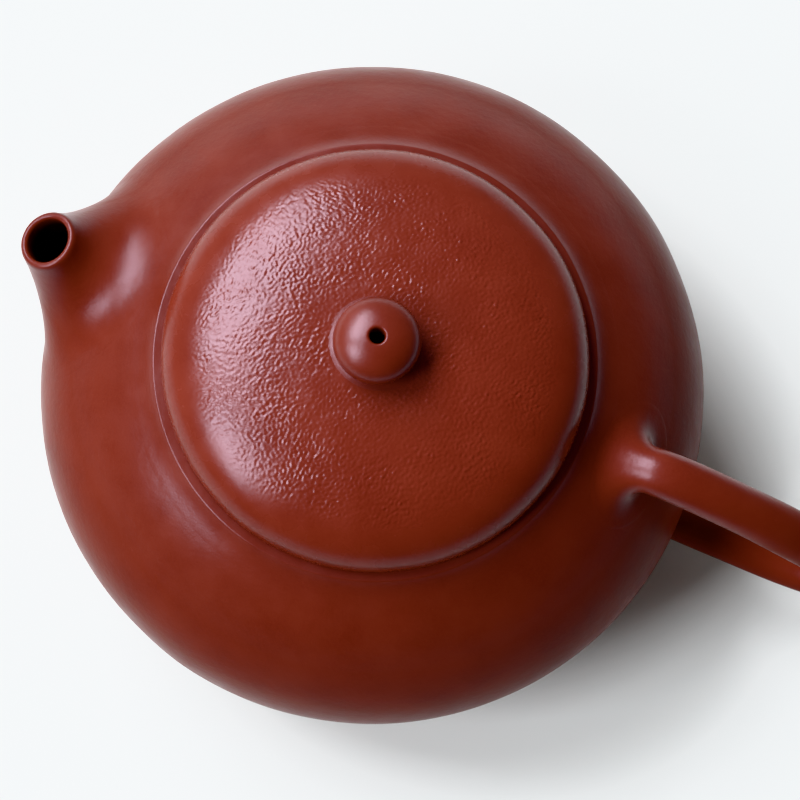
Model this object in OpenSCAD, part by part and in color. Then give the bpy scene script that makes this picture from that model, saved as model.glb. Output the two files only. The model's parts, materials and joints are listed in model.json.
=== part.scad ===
/* [Body] */
// Widest diameter of the body
body_d = 90; // [87:1:92]
// Height of the widest level above the table
waist_z = 22.8; // [22:0.2:23.6]
// Thickness of the clay wall
wall_t = 2.6; // [2.4:0.1:2.8]
// Outer radius of the foot ring
foot_r = 28.5; // [27.5:0.5:29.5]
// Height of the foot ring
foot_h = 2.2; // [2:0.1:2.4]
// Thickness of the base plate
base_t = 2.4; // [2.2:0.1:2.6]

/* [Mouth] */
// Height of the plane that the lid rests on
rim_z = 46.7; // [46.3:0.1:47.1]
// Outer radius of the mouth ring
rim_r = 29.2; // [28.9:0.1:29.5]
// Radius of the round mouth that the lid drops into
mouth_r = 23.9; // [23.8:0.1:24.1]
// Height of the mouth ring, from its seat to the lid
ring_h = 2.4; // [2.2:0.1:2.6]
// How far the mouth ring stands above the shoulder
ring_step = 0.9; // [0.7:0.1:1.1]

/* [Lid] */
// Outer radius of the lid
lid_r = 27.5; // [27.2:0.1:27.8]
// Height of the dome above its seat plate
dome_h = 9.6; // [9.2:0.1:10]
// Thickness of the dome
dome_t = 2.2; // [2:0.1:2.4]
// Thickness of the seat plate under the dome
plate_t = 1; // [0.8:0.1:1.2]
// Play between the flange and the mouth
flange_gap = 0.35; // [0.3:0.05:0.5]
// Thickness of the flange
flange_t = 2.2; // [1.8:0.1:2.4]
// Depth of the flange below the seat plate
flange_h = 8; // [7:0.5:9]

/* [Knob] */
// Widest radius of the knob
knob_r = 5.55; // [5.2:0.05:5.8]
// Radius of the knob's neck, where it meets the dome
neck_r = 3.6; // [3.4:0.1:3.8]
// Height of the knob
knob_h = 6.6; // [6.2:0.1:7]
// Radius of the vent hole
vent_r = 1; // [0.8:0.1:1.2]

/* [Spout] */
// Distance of the spout's mouth from the pot's axis
tip_x = 45.7; // [45.2:0.1:46.2]
// Height of the middle of the spout's mouth
tip_z = 44.4; // [44:0.1:45]
// Lean of the spout's mouth out from the upright, in degrees
tip_lean = 26; // [24:1:28]
// Outer radius of the spout at its mouth
tip_r = 3.9; // [3.8:0.1:4.2]
// Radius of the pouring hole
pour_r = 3; // [2.8:0.1:3.1]
// Length of the round pouring hole
pour_l = 6.5; // [6:0.5:7]

/* [Handle] */
// Half the width of the handle where it leaves the shoulder
grip_w = 3.1; // [2.9:0.1:3.3]
// Half the thickness of the handle where it leaves the shoulder
grip_t = 2.6; // [2.4:0.1:2.8]
// How much wider and thicker the handle is at its outer bend than at the shoulder
grip_swell = 1.05; // [1:0.05:1.15]
// How far the handle reaches from the pot's axis
reach = 73; // [72:0.5:74.5]
// Height of the handle's outermost point
reach_z = 19.5; // [18.5:0.5:20.5]
// Height at which the handle's lower arm meets the belly
tail_z = 12.2; // [11.8:0.1:12.6]
// Size of the handle at its lower end, against the shoulder end
tail_size = 0.86; // [0.8:0.02:0.92]

/* [Hidden] */
$fn = 96;

clay = [0.55, 0.16, 0.11];
dark_clay = [0.42, 0.11, 0.08];

// The belly is half an ellipse above the waist and half of another below it.
// An angle on it is 0 at the waist, and grows upwards.
body_r = body_d / 2;
top_h = (rim_z - ring_step - waist_z) / sqrt(1 - pow(rim_r / body_r, 2));
low_h = (waist_z - foot_h) / sqrt(1 - pow(foot_r / body_r, 2));
floor_z = foot_h + base_t;
ring_z = rim_z - ring_h;
plate_z = rim_z + plate_t;
flange_r = mouth_r - flange_gap;
seam_angle = 39; // where the wall ends and the shoulder disc starts
arc_steps = 24;

function half_h(angle, inset) = (angle >= 0 ? top_h : low_h) - inset;
function belly_angle(z, inset) = asin((z - waist_z) / half_h(z - waist_z, inset));
function belly_2d(angle, inset) = [
    (body_r - inset) * cos(angle),
    waist_z + half_h(angle, inset) * sin(angle)
];
function belly_arc(from, to, inset) = [
    for (i = [0:arc_steps]) belly_2d(from + (to - from) * i / arc_steps, inset)
];
function belly_point(around, angle, inset) =
    let (p = belly_2d(angle, inset)) [p[0] * cos(around), p[0] * sin(around), p[1]];

// A root is an oval on the belly, sunk a little into the clay. It holds its middle, as an angle round
// the pot and an angle on the belly, and its half width and half height, as angles too.
// Its size runs from 0 at its middle to 1 at its edge.
root_inset = 0.5;
function root_point(root, turn, size) = belly_point(
    root[0] + size * root[2] * sin(turn),
    root[1] + size * root[3] * cos(turn),
    root_inset
);
function root_slope(root, turn) = (root_point(root, turn, 0.95) - root_point(root, turn, 1)) / 0.05;

// A curve that leaves one point along one slope and reaches another point along another slope.
function blend(a, slope_a, b, slope_b, t) =
    a * (1 + 2 * t) * pow(1 - t, 2) + slope_a * t * pow(1 - t, 2)
    + b * t * t * (3 - 2 * t) + slope_b * t * t * (t - 1);

function bezier(p, t) =
    p[0] * pow(1 - t, 3) + p[1] * 3 * t * pow(1 - t, 2) + p[2] * 3 * t * t * (1 - t) + p[3] * pow(t, 3);

function ring_turn(i, sides) = 360 * i / sides;

// Skins a list of rings of points, and closes both ends on a middle point.
module skin(rings, start, finish) {
    sides = len(rings[0]);
    last = len(rings) - 1;
    points = concat([start], [for (ring = rings) each ring], [finish]);
    function at(ring, i) = 1 + ring * sides + i % sides;
    sheets = [
        for (r = [0:last - 1], i = [0:sides - 1]) each [
            [at(r, i), at(r + 1, i), at(r + 1, i + 1)],
            [at(r, i), at(r + 1, i + 1), at(r, i + 1)]
        ]
    ];
    caps = [
        for (i = [0:sides - 1]) each [
            [0, at(0, i), at(0, i + 1)],
            [len(points) - 1, at(last, i + 1), at(last, i)]
        ]
    ];
    polyhedron(points, concat(sheets, caps));
}

module revolve(outline) {
    rotate_extrude() polygon(outline);
}

spout_root = [0, 23.5, 20, -23.5];
spout_sides = 32;
spout_steps = 14;
spout_flare = 0.9; // how widely the spout's foot spreads over the shoulder
spout_run = 15; // how straight the spout runs up to its mouth
spout_taper = 3.5; // how much it narrows towards its mouth
tip = [tip_x, 0, tip_z];
tip_dir = [sin(tip_lean), 0, cos(tip_lean)];
tip_out = [cos(tip_lean), 0, -sin(tip_lean)];
root_mid = belly_point(0, spout_root[1], 0);
root_lean = atan2(cos(spout_root[1]) / body_r, sin(spout_root[1]) / top_h);

// The channel is a round pouring hole, a throat that widens, and a bulb at the belly.
bulb_r = 4.8;
throat_l = 4;

// The strainer fills a round hole in the wall. Each row of holes in it has its angle from the
// bottom of the ball, and its number of holes.
strainer_r = 4.3;
strainer_t = 0.9;
strainer_steps = 8;
hole_r = 0.6;
strainer_rows = [[0, 1], [36, 6], [68, 10]];

function tip_spoke(turn) = cos(turn) * tip_out + [0, sin(turn), 0];
function spout_point(turn, t) = blend(
    root_point(spout_root, turn, 1),
    spout_flare * root_slope(spout_root, turn),
    tip + tip_r * tip_spoke(turn),
    spout_run * tip_dir - spout_taper * tip_spoke(turn),
    t
);
function spout_ring(t) = [for (i = [0:spout_sides - 1]) spout_point(ring_turn(i, spout_sides), t)];
function root_ring(root, size, sides) = [
    for (i = [0:sides - 1]) root_point(root, ring_turn(i, sides), size)
];

// Puts its children on the belly where the spout stands, with +Z straight out of the wall.
module at_spout_root() {
    translate(root_mid) rotate([0, root_lean, 0]) children();
}

module spout_channel() {
    translate(tip) rotate([0, tip_lean, 0]) {
        translate([0, 0, -pour_l]) cylinder(r = pour_r, h = pour_l + 1);
        translate([0, 0, -pour_l - throat_l]) cylinder(r1 = bulb_r - 0.4, r2 = pour_r, h = throat_l);
    }
    translate(root_mid) sphere(r = bulb_r);
}

// The handle rises a little from the shoulder, falls outward in a long curve, turns under and runs back
// to the belly.
upper_root = [180, 37, -13, 9.5];
lower_root = [180, -22.5, -9, -10];
grip_sides = 24;
arm_steps = 20;
root_steps = 5;
root_flare = 0.8; // how widely the handle's ends spread over the belly
root_run = 8; // how straight the handle leaves them
bend_x = reach - grip_t * grip_swell;
// Four points each, in a plane through the pot's axis, that pull the arm into its curve
upper_arm = [
    [body_r - 6.5, rim_z - 4], [body_r - 0.5, rim_z - 2], [bend_x, reach_z + 11.5], [bend_x, reach_z]
];
lower_arm = [
    [bend_x, reach_z], [bend_x, reach_z - 10.5], [body_r + 13, tail_z - 2.2], [body_r - 1, tail_z]
];

function grip_at(i) = i <= arm_steps
    ? bezier(upper_arm, i / arm_steps)
    : bezier(lower_arm, (i - arm_steps) / arm_steps);
function grip_dir(i) =
    let (d = grip_at(min(i + 0.05, 2 * arm_steps)) - grip_at(max(i - 0.05, 0))) d / norm(d);
function grip_scale(t) = pow(1 - t, 2) + (4 * grip_swell - 1 - tail_size) * t * (1 - t) + tail_size * t * t;
function grip_size(i) = grip_scale(i / (2 * arm_steps)) * [grip_w, grip_t];
function grip_point(i, turn) =
    let (
        c = grip_at(i),
        d = grip_dir(i),
        s = grip_size(i),
        lift = s[1] * cos(turn)
    )
    [-(c[0] - lift * d[1]), s[0] * sin(turn), c[1] + lift * d[0]];
function grip_ring(i) = [for (k = [0:grip_sides - 1]) grip_point(i, ring_turn(k, grip_sides))];
function grip_slope(i) = let (d = grip_dir(i)) root_run * [-d[0], 0, d[1]];

// One ring between a root and the end of the handle there. Away is 1 at the end that the handle
// starts from, and -1 at the end that it runs into.
function grip_root_ring(root, i, away, t) = [
    for (k = [0:grip_sides - 1])
        let (turn = ring_turn(k, grip_sides))
        blend(
            root_point(root, turn, 1),
            root_flare * root_slope(root, turn),
            grip_point(i, turn),
            away * grip_slope(i),
            t
        )
];

module body_wall() {
    bottom = belly_angle(floor_z, 0);
    inner_bottom = belly_angle(floor_z, wall_t);
    color(clay) difference() {
        revolve(concat(
            belly_arc(bottom, 0, 0),
            belly_arc(0, seam_angle, 0),
            belly_arc(seam_angle, 0, wall_t),
            belly_arc(0, inner_bottom, wall_t)
        ));
        at_spout_root() cylinder(r = strainer_r, h = 6 * wall_t, center = true);
    }
}

module shoulder_disc() {
    inner_z = ring_z - wall_t;
    color(clay) revolve(concat(
        belly_arc(seam_angle, acos(rim_r / body_r), 0),
        [[rim_r, ring_z], [mouth_r + 0.6, ring_z], [mouth_r + 0.6, inner_z]],
        belly_arc(belly_angle(inner_z, wall_t), seam_angle, wall_t)
    ));
}

module base_plate() {
    color(clay) revolve(concat(
        [[0, floor_z], [0, foot_h]],
        belly_arc(belly_angle(foot_h, 0), belly_angle(floor_z, 0), 0)
    ));
}

module foot_ring() {
    edge = 0.4;
    color(clay) revolve([
        [foot_r - 3, edge], [foot_r - 3 + edge, 0], [foot_r - 2 * edge, 0], [foot_r - edge, edge],
        [foot_r, foot_h], [foot_r - 3, foot_h]
    ]);
}

module mouth_ring() {
    round_r = 0.7;
    color(clay) revolve(concat(
        [[mouth_r, ring_z], [rim_r, ring_z]],
        [for (a = [0:15:90]) [rim_r - round_r + round_r * cos(a), rim_z - round_r + round_r * sin(a)]],
        [[mouth_r, rim_z]]
    ));
}

module spout() {
    color(clay) difference() {
        skin(
            concat(
                [root_ring(spout_root, 0.5, spout_sides)],
                [for (s = [0:spout_steps]) spout_ring(s / spout_steps)]
            ),
            root_point(spout_root, 0, 0),
            tip
        );
        spout_channel();
    }
}

function ball_spoke(i) = let (a = 90 * i / strainer_steps) [sin(a), -cos(a)];

// A cup with a round bottom, its rim flush with the outside of the wall.
module ball_strainer() {
    inner_r = strainer_r - strainer_t;
    color(dark_clay) at_spout_root() translate([0, 0, -wall_t]) difference() {
        revolve(concat(
            [for (i = [0:strainer_steps]) strainer_r * ball_spoke(i)],
            [[strainer_r, wall_t], [inner_r, wall_t]],
            [for (i = [strainer_steps:-1:0]) inner_r * ball_spoke(i)]
        ));
        for (row = strainer_rows, k = [0:row[1] - 1])
            rotate([180 - row[0], 0, 360 * k / row[1]])
                translate([0, 0, inner_r / 2]) cylinder(r = hole_r, h = strainer_r, $fn = 24);
    }
}

module handle() {
    color(clay) skin(
        concat(
            [root_ring(upper_root, 0.5, grip_sides)],
            [for (s = [0:root_steps - 1]) grip_root_ring(upper_root, 0, 1, s / root_steps)],
            [for (i = [0:2 * arm_steps]) grip_ring(i)],
            [for (s = [root_steps - 1:-1:0]) grip_root_ring(lower_root, 2 * arm_steps, -1, s / root_steps)],
            [root_ring(lower_root, 0.5, grip_sides)]
        ),
        root_point(upper_root, 0, 0),
        root_point(lower_root, 0, 0)
    );
}

module lid_plate() {
    edge = 0.25;
    color(clay) revolve([
        [flange_r - flange_t, rim_z], [lid_r - edge, rim_z], [lid_r, rim_z + edge],
        [lid_r, plate_z], [flange_r - flange_t, plate_z]
    ]);
}

module lid_flange() {
    edge = 0.5;
    color(clay) revolve([
        [flange_r - flange_t, rim_z - flange_h], [flange_r - edge, rim_z - flange_h],
        [flange_r, rim_z - flange_h + edge], [flange_r, rim_z], [flange_r - flange_t, rim_z]
    ]);
}

// The dome is fuller than an ellipse: flat on top and steep at its edge.
dome_power = 2.3;
function dome_arc(radius, height, from, to) = [
    for (i = [0:arc_steps])
        let (a = from + (to - from) * i / arc_steps)
        [
            radius * pow(cos(a), 2 / dome_power),
            plate_z + height * pow(sin(a), 2 / dome_power)
        ]
];

module lid_dome() {
    color(clay) difference() {
        revolve(concat(
            dome_arc(lid_r, dome_h, 0, 90),
            dome_arc(lid_r - 1.3 * dome_t, dome_h - dome_t, 90, 0)
        ));
        translate([0, 0, plate_z]) cylinder(r = vent_r, h = dome_h + 1);
    }
}

// The knob is half an ellipse above its widest level and part of another below it.
function knob_arc(mid_z, half_height, from, to) = [
    for (i = [0:arc_steps / 2])
        let (a = from + (to - from) * 2 * i / arc_steps)
        [knob_r * cos(a), mid_z + half_height * sin(a)]
];

module knob() {
    sunk = 0.1;
    foot_z = plate_z + dome_h - sunk;
    mid_z = foot_z + 0.48 * knob_h;
    color(clay) difference() {
        revolve(concat(
            [[0, foot_z], [neck_r, foot_z]],
            knob_arc(mid_z, 0.42 * knob_h, -acos(neck_r / knob_r), 0),
            knob_arc(mid_z, 0.52 * knob_h, 0, 90)
        ));
        translate([0, 0, foot_z - 1]) cylinder(r = vent_r, h = knob_h + 2);
    }
}

body_wall();
shoulder_disc();
base_plate();
foot_ring();
mouth_ring();
spout();
ball_strainer();
handle();
lid_plate();
lid_flange();
lid_dome();
knob();
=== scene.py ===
"""A small red clay teapot: burnished body, wrinkled lid, short spout and ear handle, seen from above.

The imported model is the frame. Each piece made here stands for one or more of its nodes and keeps their
outline, and adds what fired clay shows: soft edges, roots without a seam, wrinkles and a hand-made skin.
Lengths are in metres, and +X points to the spout.
"""

import json
import math

import bmesh
import bpy
import numpy as np
from mathutils import Matrix, Vector


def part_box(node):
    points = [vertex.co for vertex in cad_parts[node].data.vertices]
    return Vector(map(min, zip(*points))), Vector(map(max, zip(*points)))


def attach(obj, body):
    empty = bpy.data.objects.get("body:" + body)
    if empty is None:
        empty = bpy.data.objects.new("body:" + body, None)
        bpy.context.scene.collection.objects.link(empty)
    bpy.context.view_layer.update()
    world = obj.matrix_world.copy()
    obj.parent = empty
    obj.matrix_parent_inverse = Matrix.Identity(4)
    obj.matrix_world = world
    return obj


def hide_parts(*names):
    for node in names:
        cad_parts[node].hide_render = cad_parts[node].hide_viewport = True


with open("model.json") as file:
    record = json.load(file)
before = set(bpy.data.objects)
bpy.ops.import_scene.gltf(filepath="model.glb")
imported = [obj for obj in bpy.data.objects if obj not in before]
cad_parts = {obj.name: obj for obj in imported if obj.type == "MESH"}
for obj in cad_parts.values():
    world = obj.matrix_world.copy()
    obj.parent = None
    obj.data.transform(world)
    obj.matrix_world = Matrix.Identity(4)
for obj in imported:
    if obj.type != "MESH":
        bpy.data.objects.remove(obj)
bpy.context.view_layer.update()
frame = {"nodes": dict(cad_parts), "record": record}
MM = 0.001
TURN = 2 * math.pi
TRUE_CORNER = math.radians(50)


def low(node):
    return np.array(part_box(node)[0])


def high(node):
    return np.array(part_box(node)[1])


# ---------------------------------------------------------------- sizes, from the frame where it has them

BODY_R = high("body_wall")[1]
WAIST_Z = 22.8 * MM
WALL = 2.6 * MM
FOOT_R, _, FOOT_H = high("foot_ring")
FOOT_WIDTH = 3.0 * MM
FLOOR_Z = high("base_plate")[2]
RIM_R, _, RIM_Z = high("mouth_ring")
RING_Z = low("mouth_ring")[2]
SHOULDER_Z = high("shoulder_disc")[2]
FLANGE_R = high("lid_flange")[0]
MOUTH_R = FLANGE_R + 0.35 * MM
FLANGE_WIDTH = 2.2 * MM
FLANGE_Z = low("lid_flange")[2]
LID_R, _, DOME_TOP = high("lid_dome")
PLATE_Z = low("lid_dome")[2]
DOME_H = DOME_TOP - PLATE_Z
DOME_WALL = 2.2 * MM
DOME_POWER = 2.3
KNOB_R, _, KNOB_TOP = high("knob")
KNOB_Z = low("knob")[2]
VENT_R = 1.0 * MM

# The belly is half an ellipse above the waist and half of another below it.
TOP_H = (SHOULDER_Z - WAIST_Z) / math.sqrt(1 - (RIM_R / BODY_R) ** 2)
LOW_H = (WAIST_Z - FOOT_H) / math.sqrt(1 - (FOOT_R / BODY_R) ** 2)


# ---------------------------------------------------------------- meshes from rings of points

def faces_between(first, count, second, other):
    """Faces between two closed rings, given by the index of their first point and by how many they hold."""
    if count == other:
        return [
            (first + i, first + (i + 1) % count, second + (i + 1) % count, second + i)
            for i in range(count)
        ]
    faces = []
    i = j = 0
    while (i < count and count > 1) or (j < other and other > 1):
        i_next = (i + 1) / count if count > 1 and i < count else math.inf
        j_next = (j + 1) / other if other > 1 and j < other else math.inf
        a, b = first + i % count, second + j % other
        if i_next <= j_next:
            faces.append((a, first + (i + 1) % count, b))
            i += 1
        else:
            faces.append((a, second + (j + 1) % other, b))
            j += 1
    return faces


def skin(name, rings, closed=False):
    """A mesh over a list of rings, each an array of points. A ring of one point closes an end,
    and closed joins the last ring to the first."""
    starts = np.cumsum([0] + [len(r) for r in rings])
    pairs = list(zip(range(len(rings) - 1), range(1, len(rings))))
    if closed:
        pairs.append((len(rings) - 1, 0))
    faces = []
    for a, b in pairs:
        faces += faces_between(int(starts[a]), len(rings[a]), int(starts[b]), len(rings[b]))
    mesh = bpy.data.meshes.new(name)
    mesh.from_pydata(np.concatenate(rings), [], faces)
    tidy(mesh)
    piece = bpy.data.objects.new(name, mesh)
    bpy.context.scene.collection.objects.link(piece)
    return piece


def tidy(mesh):
    """Turns every face outward and shades it smooth, apart from true corners."""
    work = bmesh.new()
    work.from_mesh(mesh)
    bmesh.ops.recalc_face_normals(work, faces=work.faces)
    work.to_mesh(mesh)
    work.free()
    mesh.shade_smooth()
    mesh.set_sharp_from_angle(angle=TRUE_CORNER)


def circle(r, z, count):
    if r < 1e-7:
        return np.array([[0.0, 0.0, z]])
    turn = np.arange(count) * TURN / count
    return np.stack([r * np.cos(turn), r * np.sin(turn), np.full(count, z)], -1)


def turned(name, outline, count, closed=False):
    """A piece turned about the pot's axis. Count is the points in each ring, or gives them for a radius."""
    counts = [count(r) if callable(count) else count for r, _ in outline]
    return skin(name, [circle(r, z, n) for (r, z), n in zip(outline, counts)], closed)


def line(start, end, steps):
    """Points from start to end, without the end."""
    return [
        (start[0] + (end[0] - start[0]) * i / steps, start[1] + (end[1] - start[1]) * i / steps)
        for i in range(steps)
    ]


def arc(middle, radius, start, end, steps=6):
    """Points round a circle, from one angle to another in degrees."""
    angles = [math.radians(start + (end - start) * i / steps) for i in range(steps + 1)]
    return [(middle[0] + radius * math.cos(a), middle[1] + radius * math.sin(a)) for a in angles]


def evenly(points, spacing):
    """The same curve with its points a spacing apart."""
    p = np.array(points)
    run = np.concatenate([[0], np.cumsum(np.linalg.norm(np.diff(p, axis=0), axis=1))])
    at = np.linspace(0, run[-1], max(2, round(run[-1] / spacing) + 1))
    return [tuple(q) for q in np.stack([np.interp(at, run, p[:, 0]), np.interp(at, run, p[:, 1])], -1)]


# ---------------------------------------------------------------- the skin's relief

def waves(seed, count, shortest, longest):
    """Plane waves in seeded directions: (directions times wave number, phases)."""
    draw = np.random.default_rng(seed)
    direction = draw.normal(size=(count, 3))
    direction /= np.linalg.norm(direction, axis=1)[:, None]
    length = np.exp(draw.uniform(math.log(shortest), math.log(longest), count))
    return direction * (TURN / length)[:, None], draw.uniform(0, TURN, count)


def swell(points, wave_set):
    """The sum of the waves at these points, scaled to a spread of 1."""
    numbers, phases = wave_set
    total = np.zeros(len(points))
    for k, phase in zip(numbers, phases):
        total += np.cos(points @ k + phase)
    return total * math.sqrt(2 / len(phases))


HAND_WAVES = waves(11, 24, 9 * MM, 26 * MM)
HAND_HEIGHT = 0.03 * MM


def smooth_step(x, start, end):
    t = np.clip((x - start) / (end - start), 0, 1)
    return t * t * (3 - 2 * t)


def points_of(mesh):
    flat = np.zeros(len(mesh.vertices) * 3)
    mesh.vertices.foreach_get("co", flat)
    return flat.reshape(-1, 3)


def normals_of(mesh):
    flat = np.zeros(len(mesh.vertices) * 3, np.float32)
    mesh.vertex_normals.foreach_get("vector", flat)
    return flat.reshape(-1, 3).astype(float)


def raise_skin(piece, heights):
    """Moves every point along its normal."""
    mesh = piece.data
    moved = points_of(mesh) + normals_of(mesh) * heights[:, None]
    mesh.vertices.foreach_set("co", moved.astype(np.float32).ravel())
    mesh.update()


def shape_by_hand(piece):
    """Gives a piece the slight unevenness of clay that was formed and scraped by hand, but a level foot."""
    points = points_of(piece.data)
    raise_skin(piece, HAND_HEIGHT * smooth_step(points[:, 2], 0, 6 * MM) * swell(points, HAND_WAVES))


# ---------------------------------------------------------------- materials

RED = (0.136, 0.0275, 0.0178)
DEEP_RED = (0.112, 0.0205, 0.0130)
PALE_RED = (0.165, 0.0400, 0.0300)
# Near-black painted shade for the inside of the spout's bore.
BORE_SHADE_COLOUR = (0.008, 0.004, 0.003)
LILAC = (0.94, 0.81, 1.0)
BORE_SHADE_ATTRIBUTE = "painted_bore_shade"
CLOUD, BURNISH, SPECK, GRAIN = 7 * MM, 3.5 * MM, 0.45 * MM, 0.32 * MM
DENT, DENT_DEPTH = 1.3 * MM, 0.035 * MM
PORE, PORE_DEPTH = 0.25 * MM, 0.006 * MM
WORN_GLOSS = 0.12


class Nodes:
    """Short names for making and linking the nodes of one material."""

    def __init__(self, name):
        self.material = bpy.data.materials.new(name)
        self.material.use_nodes = True
        self.tree = self.material.node_tree
        self.tree.nodes.clear()
        self.shader = self.tree.nodes.new("ShaderNodeBsdfPrincipled")
        output = self.tree.nodes.new("ShaderNodeOutputMaterial")
        self.tree.links.new(self.shader.outputs["BSDF"], output.inputs["Surface"])
        self.place = self.tree.nodes.new("ShaderNodeTexCoord").outputs["Object"]

    def link(self, source, node, socket):
        self.tree.links.new(source, node.inputs[socket])

    def noise(self, size, detail=2.0, roughness=0.5):
        """Noise whose patches are about this size, in metres."""
        node = self.tree.nodes.new("ShaderNodeTexNoise")
        node.inputs["Scale"].default_value = 1 / size
        node.inputs["Detail"].default_value = detail
        node.inputs["Roughness"].default_value = roughness
        self.link(self.place, node, "Vector")
        return node.outputs["Fac"]

    def attribute(self, name):
        """A number stored on the piece's points, or 0 on a piece without it."""
        node = self.tree.nodes.new("ShaderNodeAttribute")
        node.attribute_name = name
        return node.outputs["Fac"]

    def height(self):
        """The height above the table, in metres."""
        node = self.tree.nodes.new("ShaderNodeSeparateXYZ")
        self.link(self.place, node, "Vector")
        return node.outputs["Z"]

    def ramp(self, source, low_in, high_in, low_out, high_out):
        """Carries one range of values over to another, and holds them there."""
        node = self.tree.nodes.new("ShaderNodeMapRange")
        values = {"From Min": low_in, "From Max": high_in, "To Min": low_out, "To Max": high_out}
        for socket, value in values.items():
            node.inputs[socket].default_value = value
        self.link(source, node, "Value")
        return node.outputs["Result"]

    def mix(self, share, a, b):
        """A colour between a and b, which are colours or sockets."""
        node = self.tree.nodes.new("ShaderNodeMix")
        node.data_type = "RGBA"
        self.link(share, node, 0)
        for index, colour in ((6, a), (7, b)):
            if isinstance(colour, tuple):
                node.inputs[index].default_value = (*colour, 1.0)
            else:
                self.tree.links.new(colour, node.inputs[index])
        return node.outputs[2]

    def bump(self, height, distance, strength, below=None):
        node = self.tree.nodes.new("ShaderNodeBump")
        node.inputs["Distance"].default_value = distance
        node.inputs["Strength"].default_value = strength
        self.link(height, node, "Height")
        if below is not None:
            self.link(below, node, "Normal")
        return node.outputs["Normal"]


def clay(name, gloss, gloss_rough, grain_strength, specks, shade=1.0, gloss_band=None):
    """Fired red clay: cloudy colour, fine grain, pale specks and an uneven burnish, with near-black painted
    shade wherever a piece's points carry it. Shade scales the red: below 1 it is painted shade, a darker copy
    of the same clay.
    A gloss band is two heights: the burnish is full above the upper one and wears off to the lower one."""
    n = Nodes(name)
    clouds = n.ramp(n.noise(CLOUD, 4), 0.33, 0.67, 0, 1)
    grain = n.ramp(n.noise(GRAIN, 2), 0.36, 0.66, 0, 0.4)
    speck = n.ramp(n.noise(SPECK, 1), 0.70, 0.76, 0, specks)
    # Painted shade: a shade below 1 darkens this whole copy of the clay.
    red, deep_red = (tuple(shade * part for part in tone) for tone in (RED, DEEP_RED))
    colour = n.mix(grain, n.mix(clouds, deep_red, red), red)
    # Painted shade: where a piece's points carry it, the colour goes to near black.
    colour = n.mix(n.attribute(BORE_SHADE_ATTRIBUTE), n.mix(speck, colour, PALE_RED), BORE_SHADE_COLOUR)
    n.link(colour, n.shader, "Base Color")
    dull = n.ramp(n.noise(BURNISH, 3), 0.3, 0.7, gloss_rough - 0.03, gloss_rough + 0.04)
    n.link(dull, n.shader, "Roughness")
    n.shader.inputs["Specular IOR Level"].default_value = gloss
    if gloss_band:
        n.link(n.ramp(n.height(), *gloss_band, WORN_GLOSS * gloss, gloss), n.shader, "Specular IOR Level")
    n.shader.inputs["Specular Tint"].default_value = (*LILAC, 1.0)
    dents = n.bump(n.noise(DENT, 3, 0.6), DENT_DEPTH, grain_strength)
    n.link(n.bump(n.noise(PORE, 3, 0.6), PORE_DEPTH, grain_strength, dents), n.shader, "Normal")
    return n.material


def paint_bore_shade(piece, amounts):
    """Stores how much painted shade darkens each point of a piece, from 0 to 1: the spout's bore is painted
    near black.
    """
    layer = piece.data.attributes.new(BORE_SHADE_ATTRIBUTE, "FLOAT", "POINT")
    layer.data.foreach_set("value", np.asarray(amounts, np.float32))


def dress(piece, material, slot, body, *nodes):
    """Gives a finished piece its material, its body and the nodes that it stands for."""
    piece.data.materials.append(material)
    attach(piece, body)
    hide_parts(*nodes)


# ---------------------------------------------------------------- the belly, and what grows out of it

def belly_point(around, angle, inset=0.0):
    """Points on the belly, or a little below its skin. Around goes round the pot, and angle up its side."""
    angle = np.asarray(angle, float)
    half = np.where(angle >= 0, TOP_H, LOW_H) - inset
    r = (BODY_R - inset) * np.cos(angle)
    return np.stack([r * np.cos(around), r * np.sin(around), WAIST_Z + half * np.sin(angle)], -1)


def belly_at(r):
    """The (radius, height) of the belly's skin above the waist, a hair proud of it."""
    return np.array([r, WAIST_Z + TOP_H * math.sqrt(1 - (r / BODY_R) ** 2) + PROUD])


def belly_arc(start, end, inset, spacing=0.7 * MM):
    angles = np.linspace(start, end, 120)
    p = belly_point(0.0, angles, inset)
    return evenly(p[:, [0, 2]], spacing)


def belly_angle(z, inset):
    half = (TOP_H if z >= WAIST_Z else LOW_H) - inset
    return math.asin((z - WAIST_Z) / half)


# A root is an oval on the belly: its middle and its half sizes, round the pot and up its side, in degrees.
SPOUT_ROOT = (0, 23.5, 20, -23.5)
UPPER_ROOT = (180, 37, -13, 9.5)
LOWER_ROOT = (180, -22.5, -9, -10)
PROUD = 0.02 * MM
APRON_DROP = 0.1 * MM
APRON = 0.14


def root_point(root, turn, size, inset=-PROUD):
    around, angle, half_around, half_angle = np.radians(root)
    return belly_point(
        around + size * half_around * np.sin(turn), angle + size * half_angle * np.cos(turn), inset
    )


def root_slope(root, turn):
    return (root_point(root, turn, 0.95) - root_point(root, turn, 1)) / 0.05


def apron(root, turn, steps=4):
    """Rings that leave a root's edge along the belly and sink below its skin, outermost first."""
    shares = [1 - i / steps for i in range(steps)]
    return [root_point(root, turn, 1 + APRON * s, APRON_DROP * s * s - PROUD) for s in shares]


def blend(a, slope_a, b, slope_b, t):
    """A curve that leaves a along one slope and reaches b along another."""
    return (
        a * (1 + 2 * t) * (1 - t) ** 2 + slope_a * t * (1 - t) ** 2
        + b * t * t * (3 - 2 * t) + slope_b * t * t * (t - 1)
    )


def foot_outline():
    """The foot ring, from the middle of the underside to the start of the belly."""
    inner, outer = FOOT_R - FOOT_WIDTH, FOOT_R
    soft, fillet = 0.55 * MM, 0.8 * MM
    return (
        line((0, FOOT_H), (inner - fillet, FOOT_H), 24)
        + arc((inner - fillet, FOOT_H - fillet), fillet, 90, 0)
        + arc((inner + soft, soft), soft, 180, 270)
        + arc((outer - 2 * soft, soft), soft, 270, 350)
    )


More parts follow.
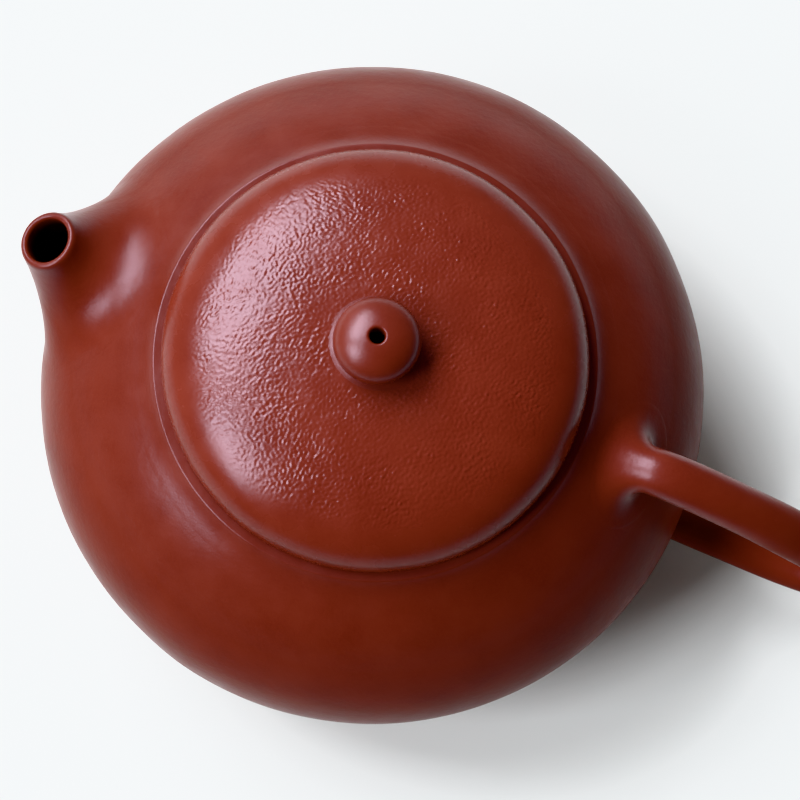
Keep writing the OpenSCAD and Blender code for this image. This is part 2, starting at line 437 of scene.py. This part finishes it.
def foot_blend():
    """The hollow curve from the side of the foot ring up into the belly."""
    top = belly_point(0.0, belly_angle(FOOT_H + 1.6 * MM, 0))
    start = np.array([FOOT_R - 0.45 * MM, 0.9 * MM])
    end = top[[0, 2]]
    slope_a = np.array([0.1, 2.4]) * MM
    ahead = belly_point(0.0, belly_angle(FOOT_H + 1.9 * MM, 0))[[0, 2]] - end
    slope_b = ahead / np.linalg.norm(ahead) * 3.5 * MM
    return [tuple(blend(start, slope_a, end, slope_b, i / 10)) for i in range(10)]


def make_pot_body():
    """The belly, shoulder, base and foot ring, which are one skin once the clay is luted."""
    mouth = MOUTH_R + 0.6 * MM
    rim_angle = math.acos((RIM_R - 0.4 * MM) / BODY_R)
    underside = RING_Z - WALL
    outer = belly_arc(belly_angle(FOOT_H + 1.6 * MM, 0), rim_angle, 0)
    inner = belly_arc(belly_angle(underside, WALL), belly_angle(FLOOR_Z + 1.5 * MM, WALL), WALL, 1.0 * MM)
    corner = inner[-1]
    outline = (
        foot_outline() + foot_blend() + outer
        + line((RIM_R - 0.6 * MM, RING_Z), (mouth, RING_Z), 4)
        + arc((mouth + 0.8 * MM, underside + 0.8 * MM), 0.8 * MM, 180, 270)
        + inner
        + arc((corner[0] - 2.2 * MM, FLOOR_Z + 1.5 * MM), 1.5 * MM, -20, -90)
        + line((corner[0] - 3.5 * MM, FLOOR_Z), (0, FLOOR_Z), 24)
        + [(0, FLOOR_Z)]
    )
    body = turned("pot_body", outline, 288)
    shape_by_hand(body)
    cut_strainer_hole(body)
    dress(body, CLAY, "burnished_clay", "pot", "body_wall", "shoulder_disc", "base_plate", "foot_ring")


def cut_strainer_hole(body):
    """Opens the wall behind the spout, where the ball strainer sits."""
    middle, out = spout_root_axis()
    reach = 3 * WALL
    bpy.ops.mesh.primitive_cylinder_add(vertices=64, radius=STRAINER_R, depth=2 * reach, location=middle)
    cutter = bpy.context.object
    cutter.rotation_mode = "QUATERNION"
    cutter.rotation_quaternion = Vector(out).to_track_quat("Z", "Y")
    cut = body.modifiers.new("strainer_hole", "BOOLEAN")
    cut.object = cutter
    cut.operation = "DIFFERENCE"
    cut.solver = "EXACT"
    bpy.context.view_layer.objects.active = body
    bpy.ops.object.modifier_apply(modifier=cut.name)
    bpy.data.objects.remove(cutter)
    body.data.set_sharp_from_angle(angle=TRUE_CORNER)


def make_mouth_ring():
    """The thin raised ring round the mouth: a flat seat, a small soft edge, and a skirt that runs out on
    the shoulder."""
    soft = 0.35 * MM
    edge_r, run_out = LID_R + 1.3 * MM, 31.0 * MM
    edge_end = 42.0
    edge = arc((edge_r - soft, RIM_Z - soft), soft, 90, edge_end)
    start = np.array(edge[-1])
    foot, beyond = belly_at(run_out), belly_at(run_out + 0.2 * MM)
    down = (beyond - foot) / np.linalg.norm(beyond - foot)
    reach = np.linalg.norm(foot - start)
    steep = reach * np.array([math.sin(math.radians(edge_end)), -math.cos(math.radians(edge_end))])
    skirt = [tuple(blend(start, steep, foot, down * reach, i / 8)) for i in range(1, 8)]
    sinking = [belly_at(run_out + 1.8 * MM * i / 8) - (0, 0.12 * MM * (i / 8) ** 2) for i in range(9)]
    outline = (
        line((MOUTH_R, RING_Z - 0.3 * MM), (MOUTH_R, RIM_Z - 0.4 * MM), 4)
        + arc((MOUTH_R + 0.4 * MM, RIM_Z - 0.4 * MM), 0.4 * MM, 180, 90)
        + edge + skirt + [tuple(p) for p in sinking]
        + [(RIM_R, RING_Z - 0.3 * MM)]
    )
    ring = turned("mouth_ring_clay", outline, 288, closed=True)
    shape_by_hand(ring)
    dress(ring, CLAY, "burnished_clay", "pot", "mouth_ring")


def dress_strainer():
    """The strainer keeps its own shape and gets the raw clay."""
    strainer = frame["nodes"]["ball_strainer"]
    strainer.data.materials.clear()
    strainer.data.materials.append(RAW_CLAY)


# ---------------------------------------------------------------- spout

STRAINER_R = 4.3 * MM
SPOUT_SIDES = 128
SPOUT_FLARE = 0.9
SPOUT_RUN = 15 * MM
SPOUT_TAPER = 3.5 * MM
TIP_R = 3.9 * MM
THROAT_R = 4.4 * MM
THROAT_DEPTH = 10.2 * MM


def spout_mouth():
    """The middle of the spout's mouth, the way it points, and its hole's radius and length. They come from
    the mount, which lies a little inside the mouth."""
    mount = next(m for m in frame["record"]["mounts"] if m["name"] == "spout_mouth")
    away = np.array(mount["axis"])
    depth = 2.0 * MM
    hole = mount["dims"]
    return np.array(mount["pos_m"]) + depth * away, away, hole["r_mm"] * MM, hole["length_mm"] * MM


def spout_root_axis():
    """The middle of the spout's root and the way straight out of the wall there."""
    angle = math.radians(SPOUT_ROOT[1])
    out = np.array([math.cos(angle) / BODY_R, 0, math.sin(angle) / TOP_H])
    return belly_point(0.0, angle), out / np.linalg.norm(out)


def make_spout():
    tip, away, hole_r, hole_length = spout_mouth()
    turn = np.arange(SPOUT_SIDES) * TURN / SPOUT_SIDES
    outward = np.array([away[2], 0, -away[0]])
    spoke = np.cos(turn)[:, None] * outward + np.sin(turn)[:, None] * np.array([0.0, 1.0, 0.0])
    root = root_point(SPOUT_ROOT, turn, 1)
    slope = SPOUT_FLARE * root_slope(SPOUT_ROOT, turn)
    lip_slope = SPOUT_RUN * away - SPOUT_TAPER * spoke

    def across(r, depth):
        return tip + r * spoke - depth * away

    lip_start = 0.97
    rings = apron(SPOUT_ROOT, turn)
    rings += [blend(root, slope, across(TIP_R, 0), lip_slope, lip_start * i / 44) for i in range(45)]
    lip = (TIP_R + 0.06 * MM - hole_r) / 2
    rings += [across(hole_r + lip + lip * c, lip - lip * s) for c, s in arc((0, 0), 1, 25, 180, 9)]
    outside = len(rings)
    rings += [across(hole_r, lip + (hole_length - lip) * i / 8) for i in range(1, 9)]
    rings += [
        across(hole_r + (THROAT_R - hole_r) * t, hole_length + (THROAT_DEPTH - hole_length) * t)
        for t in np.linspace(0, 1, 7)[1:]
    ]
    rings += [root_point(SPOUT_ROOT, turn, size, 0.4 * MM) for size in (0.3, 0.65, 1.0)]
    spout = skin("spout_clay", rings, closed=True)
    shape_by_hand(spout)
    # Painted shade: the bore behind the lip is painted near black, half as dark at its first ring.
    darkness = [0.0] * outside + [0.6] + [1.0] * (len(rings) - outside - 1)
    paint_bore_shade(spout, np.repeat(darkness, SPOUT_SIDES))
    dress(spout, CLAY, "burnished_clay", "pot", "spout")


# ---------------------------------------------------------------- handle

GRIP_SIDES = 72
GRIP = np.array([3.1, 2.6]) * MM
GRIP_SWELL = 1.05
TAIL_SIZE = 0.86
REACH_Z = 19.5 * MM
TAIL_Z = 12.2 * MM
ROOT_FLARE = 0.8
ROOT_RUN = 8 * MM
ARM_STEPS = 90


def handle_curve(t):
    """The handle's middle line in its own plane, as (distance from the axis, height). T runs from 0 at the
    upper root through 1 at the widest point to 2 at the lower root."""
    bend = -low("handle")[0] - GRIP[1] * GRIP_SWELL
    upper = np.array([
        (BODY_R - 6.5 * MM, RIM_Z - 4 * MM), (BODY_R - 0.5 * MM, RIM_Z - 2 * MM),
        (bend, REACH_Z + 11.5 * MM), (bend, REACH_Z),
    ])
    lower = np.array([
        (bend, REACH_Z), (bend, REACH_Z - 10.5 * MM),
        (BODY_R + 13 * MM, TAIL_Z - 2.2 * MM), (BODY_R - 1 * MM, TAIL_Z),
    ])
    p, s = (upper, t) if t <= 1 else (lower, t - 1)
    return p[0] * (1 - s) ** 3 + p[1] * 3 * s * (1 - s) ** 2 + p[2] * 3 * s * s * (1 - s) + p[3] * s ** 3


def handle_way(t):
    step = handle_curve(min(t + 0.002, 2)) - handle_curve(max(t - 0.002, 0))
    return step / np.linalg.norm(step)


def grip_ring(t, turn):
    """One ring round the handle, wider than it is thick."""
    share = t / 2
    scale = (1 - share) ** 2 + (4 * GRIP_SWELL - 1 - TAIL_SIZE) * share * (1 - share) + TAIL_SIZE * share ** 2
    width, thickness = scale * GRIP
    middle, way = handle_curve(t), handle_way(t)
    lift = thickness * np.cos(turn)
    return np.stack([-(middle[0] - lift * way[1]), width * np.sin(turn), middle[1] + lift * way[0]], -1)


def handle_root(root, t, away, turn, steps=16):
    """Rings from the belly to one end of the handle."""
    way = handle_way(t)
    run = away * ROOT_RUN * np.array([-way[0], 0, way[1]])
    edge, slope = root_point(root, turn, 1), ROOT_FLARE * root_slope(root, turn)
    return [blend(edge, slope, grip_ring(t, turn), run, i / steps) for i in range(steps)]


def make_handle():
    turn = np.arange(GRIP_SIDES) * TURN / GRIP_SIDES
    upper_end, lower_end = (root_point(root, 0.0, 0.0, 0.8 * MM)[None] for root in (UPPER_ROOT, LOWER_ROOT))
    rings = [upper_end] + apron(UPPER_ROOT, turn) + handle_root(UPPER_ROOT, 0, 1, turn)
    rings += [grip_ring(i / ARM_STEPS, turn) for i in range(2 * ARM_STEPS + 1)]
    rings += (apron(LOWER_ROOT, turn) + handle_root(LOWER_ROOT, 2, -1, turn))[::-1]
    rings.append(lower_end)
    handle = skin("handle_clay", rings)
    shape_by_hand(handle)
    dress(handle, CLAY, "burnished_clay", "pot", "handle")


# ---------------------------------------------------------------- lid

WRINKLE_HEIGHT = 0.0195 * MM
WRINKLE_WAVES = waves(3, 130, 0.40 * MM, 0.80 * MM)
PATCH_WAVES = waves(31, 16, 4 * MM, 11 * MM)
COLLAR_R, WRINKLED_R = 5.5 * MM, 0.88 * LID_R
FACET = 0.15 * MM
PLAIN_FACET = 0.35 * MM


def dome_arc(radius, height, start, end, spacing):
    """Evenly spaced points on the dome's outline, between two angles in degrees."""
    a = np.radians(np.linspace(start, end, 400))
    bend = 2 / DOME_POWER
    r, z = radius * np.cos(a).clip(0) ** bend, PLATE_Z + height * np.sin(a).clip(0) ** bend
    return evenly(np.stack([r, z], -1), spacing)


def wrinkles(points):
    """The crumpled skin: small close grains all over the top of the dome, gone before its edge."""
    radius = np.hypot(points[:, 0], points[:, 1])
    strength = 0.85 + 0.2 * swell(points, PATCH_WAVES).clip(-1.5, 1.5)
    strength *= 1 - smooth_step(radius, 0.76 * LID_R, WRINKLED_R)
    strength *= smooth_step(radius, 5.6 * MM, 6.8 * MM)
    return WRINKLE_HEIGHT * strength * swell(points, WRINKLE_WAVES)


def lid_count(r):
    """How many points a ring of the dome needs: close together only where the skin is wrinkled."""
    facet = FACET if COLLAR_R < r < WRINKLED_R else PLAIN_FACET
    return max(24, 6 * round(TURN * r / facet / 6))


def make_lid_dome():
    """The dome, whose skirt hides the edge of the seat plate."""
    skirt, soft = 0.35 * MM, 0.14 * MM
    bottom = RIM_Z + 0.03 * MM
    outer = [p for p in dome_arc(LID_R, DOME_H, 90, 0, FACET) if p[0] <= WRINKLED_R]
    outer += [p for p in dome_arc(LID_R, DOME_H, 90, 0, PLAIN_FACET) if p[0] > WRINKLED_R + FACET]
    hidden = [(r, z) for r, z in outer if r <= VENT_R]
    outer = [(VENT_R, hidden[-1][1])] + outer[len(hidden):]
    outline = (
        outer
        + line((LID_R, PLATE_Z - 0.1 * MM), (LID_R, bottom + soft), 2)
        + arc((LID_R - soft, bottom + soft), soft, 0, -90)
        + [(LID_R - skirt, bottom), (LID_R - skirt, PLATE_Z + 0.02 * MM)]
        + dome_arc(LID_R - 1.3 * DOME_WALL, DOME_H - DOME_WALL, 0, 87.5, 1.2 * MM)
        + [(VENT_R, PLATE_Z + DOME_H - DOME_WALL)]
    )
    fine = len(outer)
    counts = iter([lid_count(r) for r, _ in outer] + [180] * (len(outline) - fine))
    dome = skin("lid_dome_clay", [circle(r, z, next(counts)) for r, z in outline], closed=True)
    points, normals = points_of(dome.data), normals_of(dome.data)
    crumple = np.where(normals[:, 2] > 0.2, wrinkles(points), 0)
    raise_skin(dome, HAND_HEIGHT * swell(points, HAND_WAVES) + crumple)
    dress(dome, WRINKLED_CLAY, "wrinkled_clay", "lid", "lid_dome")


def make_lid_seat():
    """The seat plate and the flange below it, which drop into the mouth."""
    soft = 0.5 * MM
    inner = FLANGE_R - FLANGE_WIDTH
    edge = LID_R - 0.45 * MM
    outline = (
        arc((inner + soft, FLANGE_Z + soft), soft, 180, 270)
        + arc((FLANGE_R - soft, FLANGE_Z + soft), soft, 270, 360)
        + line((FLANGE_R, FLANGE_Z + 2 * soft), (FLANGE_R, RIM_Z - 0.3 * MM), 5)
        + arc((FLANGE_R + 0.25 * MM, RIM_Z - 0.22 * MM), 0.25 * MM, 180, 90, 3)
        + line((FLANGE_R + 0.4 * MM, RIM_Z + 0.03 * MM), (edge, RIM_Z + 0.03 * MM), 4)
        + [(edge, RIM_Z + 0.03 * MM), (edge, PLATE_Z)]
        + line((edge - 0.3 * MM, PLATE_Z), (inner + soft, PLATE_Z), 4)
        + arc((inner + soft, PLATE_Z - soft), soft, 90, 180)
        + line((inner, PLATE_Z - 2 * soft), (inner, FLANGE_Z + 1.2 * soft), 6)
    )
    seat = turned("lid_seat_clay", outline, 240, closed=True)
    dress(seat, RAW_CLAY, "raw_clay", "lid_seat", "lid_plate", "lid_flange")


# ---------------------------------------------------------------- knob

def make_knob():
    """A flattened ball on a short neck that spreads into a smooth collar on the dome."""
    neck = 3.9 * MM
    height = KNOB_TOP - KNOB_Z
    waist = KNOB_Z + 0.48 * height
    upper, lower = KNOB_TOP - waist, 0.42 * height
    edge = math.degrees(math.acos(neck / KNOB_R))
    collar_r = 6.4 * MM
    collar_z = PLATE_Z + DOME_H * (1 - (collar_r / LID_R) ** DOME_POWER) ** (1 / DOME_POWER)
    soft = 0.3 * MM

    def ball(start, end, half, steps):
        angles = np.radians(np.linspace(start, end, steps))
        return [(KNOB_R * math.cos(a), waist + half * math.sin(a)) for a in angles]

    neck_z = waist - lower * math.sin(math.radians(edge))
    collar = [
        tuple(blend(
            np.array([collar_r, collar_z - 0.04 * MM]), np.array([-3.5, 0.32]) * MM,
            np.array([neck, neck_z]), np.array([-0.1, 1.9]) * MM, i / 14,
        ))
        for i in range(14)
    ]
    top = math.degrees(math.acos((VENT_R + soft) / KNOB_R))
    shown = ball(-edge, 0, lower, 12)[:-1] + ball(0, top, upper, 36)
    rim = shown[-1]
    outline = (
        [(VENT_R, DOME_TOP - 1.2 * MM), (collar_r, collar_z - 0.5 * MM)]
        + collar + shown
        + arc((VENT_R + soft, rim[1] - soft), soft, 100, 180, 6)
        + line((VENT_R, rim[1] - 1.5 * soft), (VENT_R, DOME_TOP - 1.0 * MM), 8)
    )
    knob = turned("knob_clay", outline, 144, closed=True)
    dress(knob, CLAY, "burnished_clay", "lid", "knob")


# ---------------------------------------------------------------- stage, light and camera

VIEW_AZIMUTH = math.radians(193.28)
VIEW_ELEVATION = math.radians(80.18)
VIEW_ROLL = math.radians(7.58)
VIEW_DISTANCE = 0.420
VIEW_AIM = Vector((-4.53, 2.57, 40.0)) * MM
LENS = 144.77


def make_camera():
    a, e = VIEW_AZIMUTH, VIEW_ELEVATION
    back = Vector((math.sin(a) * math.cos(e), -math.cos(a) * math.cos(e), math.sin(e)))
    level = Vector((math.cos(a), math.sin(a), 0))
    rise = back.cross(level)
    right = level * math.cos(VIEW_ROLL) + rise * math.sin(VIEW_ROLL)
    up = back.cross(right)
    data = bpy.data.cameras.new("camera")
    data.sensor_width = 36
    data.lens = LENS
    data.clip_start = 0.01
    camera = bpy.data.objects.new("camera", data)
    camera.matrix_world = Matrix.Translation(VIEW_AIM + VIEW_DISTANCE * back) @ Matrix(
        (right, up, back)
    ).transposed().to_4x4()
    bpy.context.scene.collection.objects.link(camera)
    bpy.context.scene.camera = camera


WINDOW_DISTANCE = 1.0
WINDOW_AZIMUTH = math.radians(2)
WINDOW_LOW, WINDOW_HIGH = 0.84, 2.1
WINDOW_PANES = ((-1.4, 0.18), (0.50, 1.4))
WINDOW_RADIANCE = 16.5
WINDOW_COLOUR = (0.97, 0.985, 1.0)
BRIGHT_WAY = (0.86, -0.50, 0.0)
BRIGHT_SIDE, DARK_SIDE = 0.44, 0.05
ROOM_COLOUR = (1.0, 0.97, 0.93)
FLOOR_RADIUS = 1.2
FLOOR_COLOURS = (0.83, 0.855, 0.86), (0.85, 0.875, 0.88)


def make_window():
    """A large soft window on the spout's side, in two panes."""
    toward = Vector((math.cos(WINDOW_AZIMUTH), math.sin(WINDOW_AZIMUTH), 0))
    along = Vector((-toward.y, toward.x, 0))
    height = WINDOW_HIGH - WINDOW_LOW
    for number, (start, end) in enumerate(WINDOW_PANES, 1):
        data = bpy.data.lights.new(f"window_{number}", "AREA")
        data.shape = "RECTANGLE"
        data.size, data.size_y = end - start, height
        data.energy = WINDOW_RADIANCE * math.pi * data.size * data.size_y
        data.color = WINDOW_COLOUR
        pane = bpy.data.objects.new(data.name, data)
        pane.location = WINDOW_DISTANCE * toward + along * (start + end) / 2
        pane.location.z = (WINDOW_LOW + WINDOW_HIGH) / 2
        pane.rotation_mode = "QUATERNION"
        pane.rotation_quaternion = toward.to_track_quat("Z", "Y")
        pane.visible_camera = False
        bpy.context.scene.collection.objects.link(pane)


def make_room():
    """A dim room, brighter on the window's side of the table than on the other."""
    world = bpy.data.worlds.new("room")
    bpy.context.scene.world = world
    world.use_nodes = True
    tree = world.node_tree
    background = tree.nodes["Background"]
    side = tree.nodes.new("ShaderNodeVectorMath")
    side.operation = "DOT_PRODUCT"
    side.inputs[1].default_value = BRIGHT_WAY
    ramp = tree.nodes.new("ShaderNodeMapRange")
    values = {"From Min": -0.8, "From Max": 0.8, "To Min": DARK_SIDE, "To Max": BRIGHT_SIDE}
    for socket, value in values.items():
        ramp.inputs[socket].default_value = value
    tree.links.new(tree.nodes.new("ShaderNodeTexCoord").outputs["Generated"], side.inputs[0])
    tree.links.new(side.outputs["Value"], ramp.inputs["Value"])
    tree.links.new(ramp.outputs["Result"], background.inputs["Strength"])
    background.inputs["Color"].default_value = (*ROOM_COLOUR, 1.0)


def make_floor():
    """A plain pale table top, a hair below the foot."""
    bpy.ops.mesh.primitive_circle_add(
        vertices=96, radius=FLOOR_RADIUS, fill_type="NGON", location=(0, 0, -0.02 * MM)
    )
    floor = bpy.context.object
    floor.name = "floor"
    n = Nodes("pale_floor")
    n.shader.inputs["Roughness"].default_value = 0.6
    n.link(n.mix(n.noise(40 * MM), *FLOOR_COLOURS), n.shader, "Base Color")
    floor.data.materials.append(n.material)


# ---------------------------------------------------------------- everything

# This copy of the clay is painted 10% darker than the lid's, as painted shade for the dimmer light on the
# belly; spout, handle and knob share it.
CLAY = clay("burnished_red_clay", 0.45, 0.32, 1.0, 0.15, shade=0.9, gloss_band=(37 * MM, 47 * MM))
WRINKLED_CLAY = clay("wrinkled_red_clay", 0.44, 0.26, 0.5, 0.4, gloss_band=(48 * MM, 54 * MM))
RAW_CLAY = clay("raw_red_clay", 0.22, 0.62, 1.0, 0.5)

make_camera()
make_window()
make_room()
make_floor()
make_pot_body()
make_mouth_ring()
make_spout()
make_handle()
make_lid_dome()
make_lid_seat()
make_knob()
dress_strainer()
bpy.context.scene.view_settings.view_transform = "Khronos PBR Neutral"
